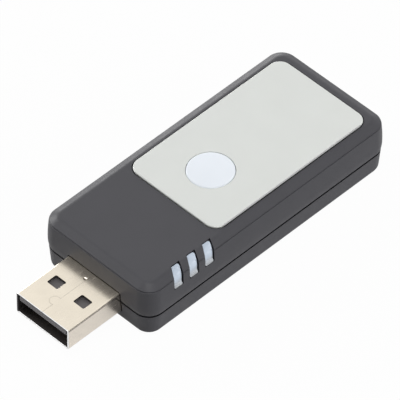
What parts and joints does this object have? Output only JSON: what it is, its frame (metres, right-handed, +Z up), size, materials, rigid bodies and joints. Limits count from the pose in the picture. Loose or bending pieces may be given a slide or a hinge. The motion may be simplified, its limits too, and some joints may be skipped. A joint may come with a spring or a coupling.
{
  "type": "usb wi-fi dongle",
  "caption": "Stick-shaped usb wi-fi dongle: two-part dark casing with an inlaid light panel, a push button, side light windows and a plug at one end.",
  "frame": {"origin": "on the resting plane, under the middle of the whole length and width, plug included", "axes": "+Y runs from the plug's tip to the casing's rear, +Z up through the panel and button, +X to the side with the light windows"},
  "size_m": [0.0252, 0.068, 0.0115],
  "materials": {
    "casing_plastic": "fine satin moulding, dark grey",
    "panel_plastic": "smooth satin, light warm grey",
    "adhesive_film": "clear tacky film",
    "button_plastic": "smooth satin, milky white",
    "light_guide_plastic": "frosted clear moulding",
    "plug_steel": "nickel plated sheet, bright",
    "plug_plastic": "dark grey moulding",
    "contact_metal": "gold flashed strip",
    "board_laminate": "green solder mask",
    "switch_plastic": "black moulding",
    "switch_metal": "thin stamped steel",
    "can_metal": "tinned sheet",
    "chip_plastic": "black moulding compound",
    "capacitor_ceramic": "tan ceramic",
    "antenna_metal": "stamped strip",
    "led_resin": "clear resin on a white base"
  },
  "bodies": {
    "casing": {"bottom_cover": "casing_plastic", "top_cover": "casing_plastic", "top_panel": "panel_plastic", "panel_adhesive": "adhesive_film", "light_guide": "light_guide_plastic", "plug_shell": "plug_steel", "plug_insulator": "plug_plastic", "circuit_board": "board_laminate", "switch_base": "switch_plastic", "switch_cover": "switch_metal", "switch_dome": "switch_metal", "shield_can": "can_metal", "radio_chip": "chip_plastic", "crystal": "can_metal", "memory_chip": "chip_plastic", "voltage_regulator": "chip_plastic", "capacitors": "capacitor_ceramic", "resistors": "chip_plastic", "antenna": "antenna_metal", "plug_contact_1": "contact_metal", "plug_contact_2": "contact_metal", "plug_contact_3": "contact_metal", "plug_contact_4": "contact_metal", "status_led_1": "led_resin", "status_led_2": "led_resin", "status_led_3": "led_resin"},
    "button": {"button_cap": "button_plastic", "switch_stem": "switch_plastic"}
  },
  "joints": [
    {"name": "button_press", "type": "slide", "parent": "casing", "child": "button", "axis": [0, 0, -1], "range_m": [0, 0.00025], "stiffness_N_per_m": 6000, "deforming": ["switch_dome"]}
  ]
}
